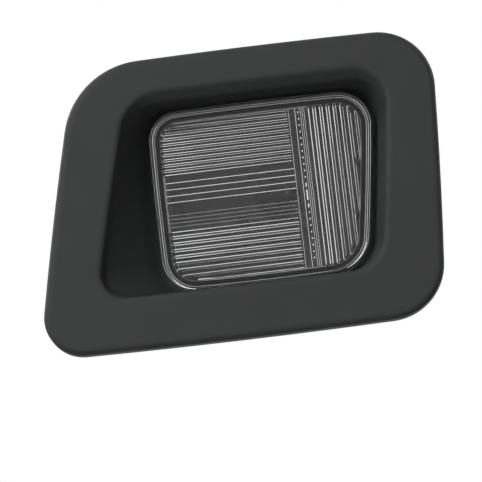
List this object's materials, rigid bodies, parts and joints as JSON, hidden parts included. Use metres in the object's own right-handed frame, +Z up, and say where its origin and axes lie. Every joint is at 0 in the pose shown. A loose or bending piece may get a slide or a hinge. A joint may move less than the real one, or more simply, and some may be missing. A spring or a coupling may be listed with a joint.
{
  "type": "number plate lamp",
  "caption": "Black moulded number plate lamp: skewed rounded flange, recessed clear fluted lens, snap-in latch for a panel cut-out, and a wedge bulb in a twist-in rear holder.",
  "frame": {"origin": "middle of the flange outline, in the plane of the flange's rear rim that rests on the panel", "axes": "front of the lamp faces -Y, +Y runs behind the panel, +X to the right and +Z up as seen from the front"},
  "size_m": [0.0971, 0.0574, 0.0688],
  "materials": {
    "housing_plastic": "fine matt grain",
    "clear_lens": "clear moulded plastic",
    "seal_rubber": "soft black",
    "bulb_glass": "clear glass",
    "filament_wire": "drawn wire",
    "lead_wire": "drawn wire",
    "holder_plastic": "moulded",
    "contact_brass": "tinned strip"
  },
  "bodies": {
    "root": {"housing": "housing_plastic", "lens": "clear_lens", "lens_seal": "seal_rubber", "bulb_glass": "bulb_glass", "filament": "filament_wire", "lead_wire_left": "lead_wire", "lead_wire_right": "lead_wire", "bulb_holder": "holder_plastic", "holder_seal": "seal_rubber", "contact_left": "contact_brass", "contact_right": "contact_brass"}
  },
  "joints": []
}
